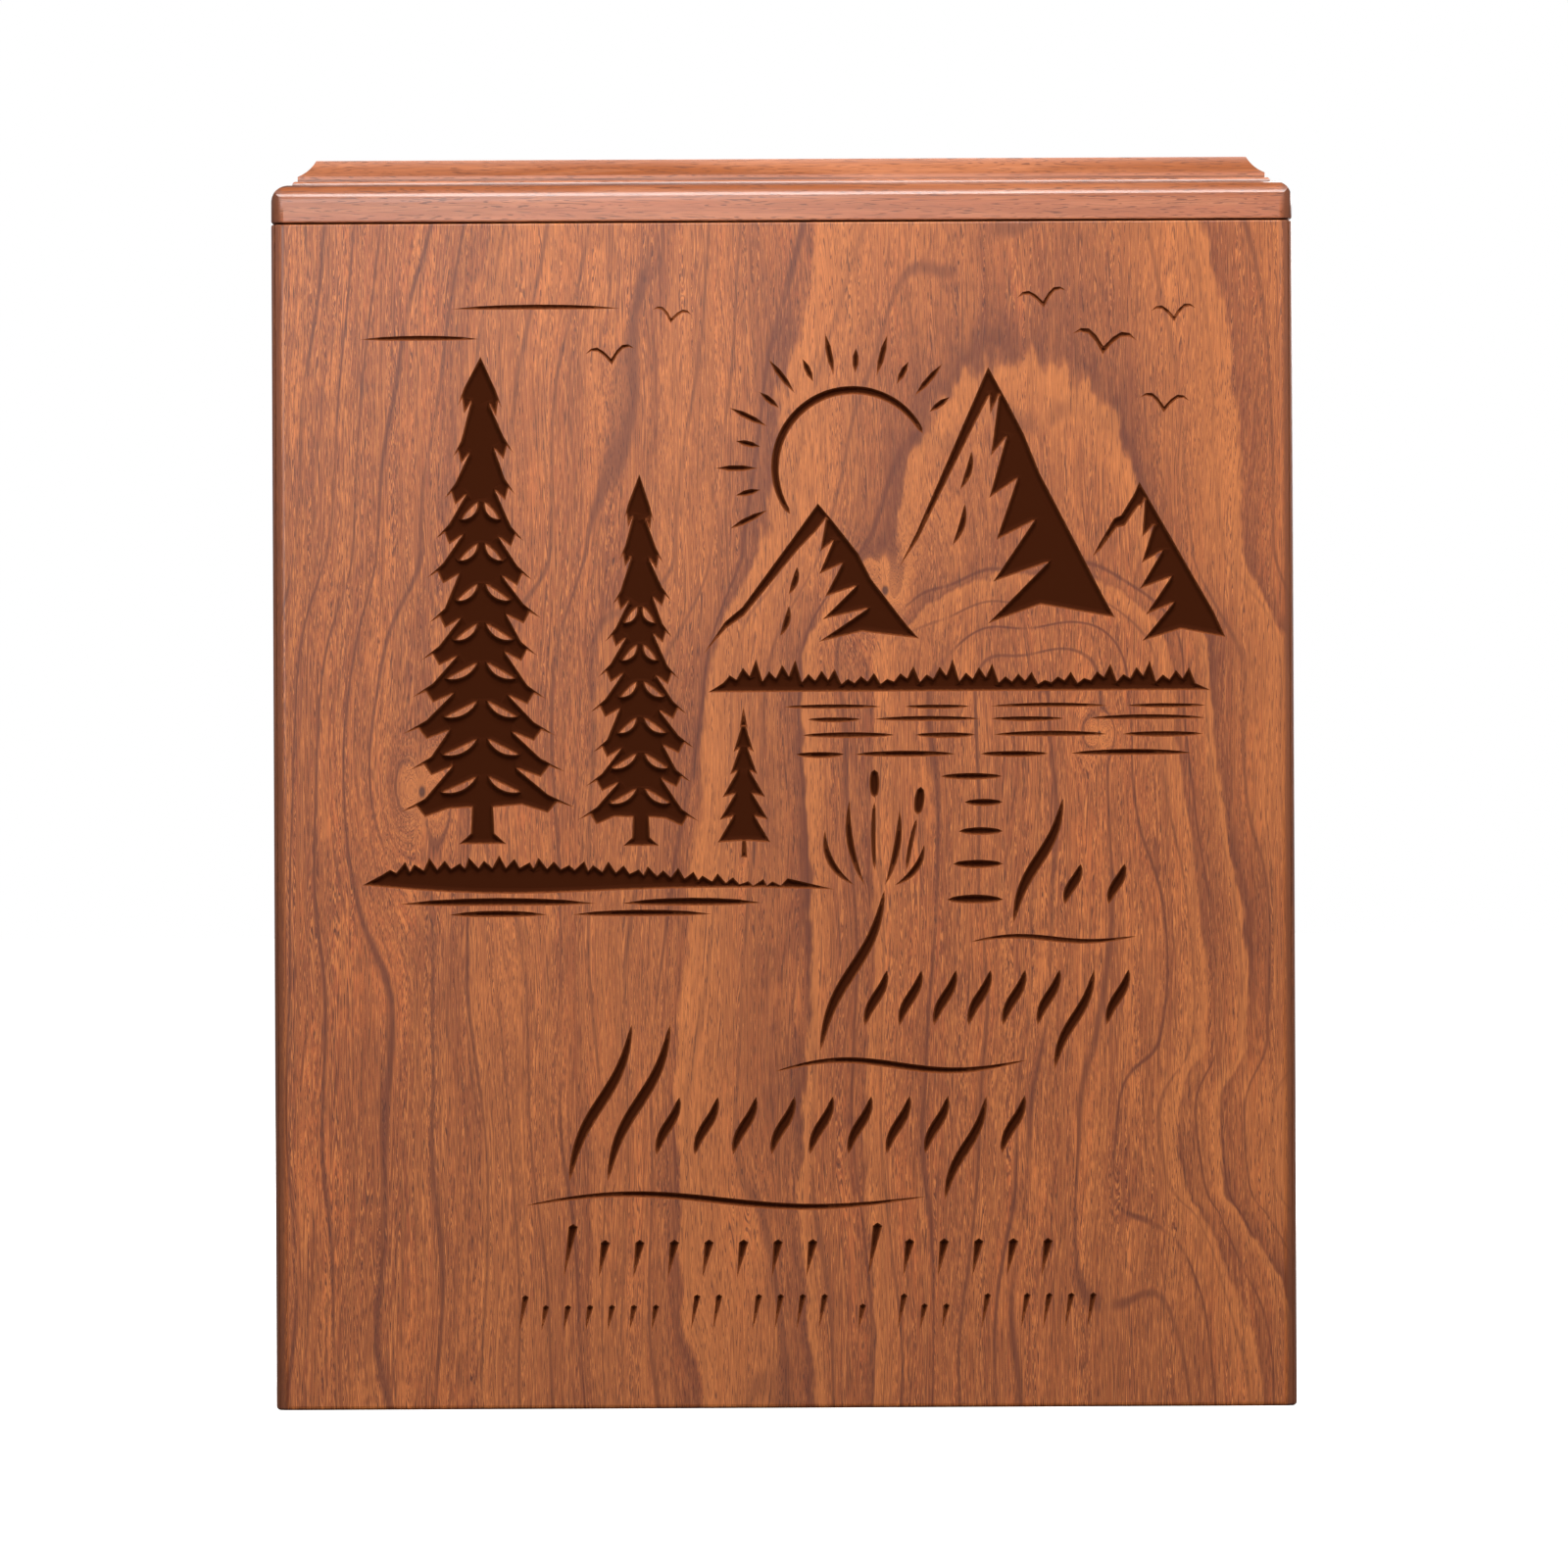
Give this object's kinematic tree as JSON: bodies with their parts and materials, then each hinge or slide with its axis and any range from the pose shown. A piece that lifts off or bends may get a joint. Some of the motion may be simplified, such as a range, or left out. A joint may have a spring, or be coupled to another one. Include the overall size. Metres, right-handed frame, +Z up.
{
  "type": "cremation urn box",
  "caption": "Upright wooden urn box with a moulded lift-off lid and a front engraved with a lake scene and rows of strokes.",
  "frame": {"origin": "middle of the underside, on the surface that the box stands on", "axes": "+Z up, front with the engraving facing -Y, +X to the right as seen from the front"},
  "size_m": [0.2032, 0.1142, 0.249],
  "materials": {
    "front_veneer": "satin lacquer over straight-grained rosewood veneer, laser-engraved to a dark brown floor",
    "side_veneer": "satin lacquer over rosewood veneer with vertical grain",
    "lid_rosewood": "satin lacquer over rosewood with the grain along its length",
    "bottom_hardwood": "sealed hardwood, plainer than the show sides"
  },
  "bodies": {
    "root": {"front_board": "front_veneer", "back_board": "side_veneer", "left_board": "side_veneer", "right_board": "side_veneer", "bottom_board": "bottom_hardwood", "lid": "lid_rosewood"}
  },
  "joints": []
}
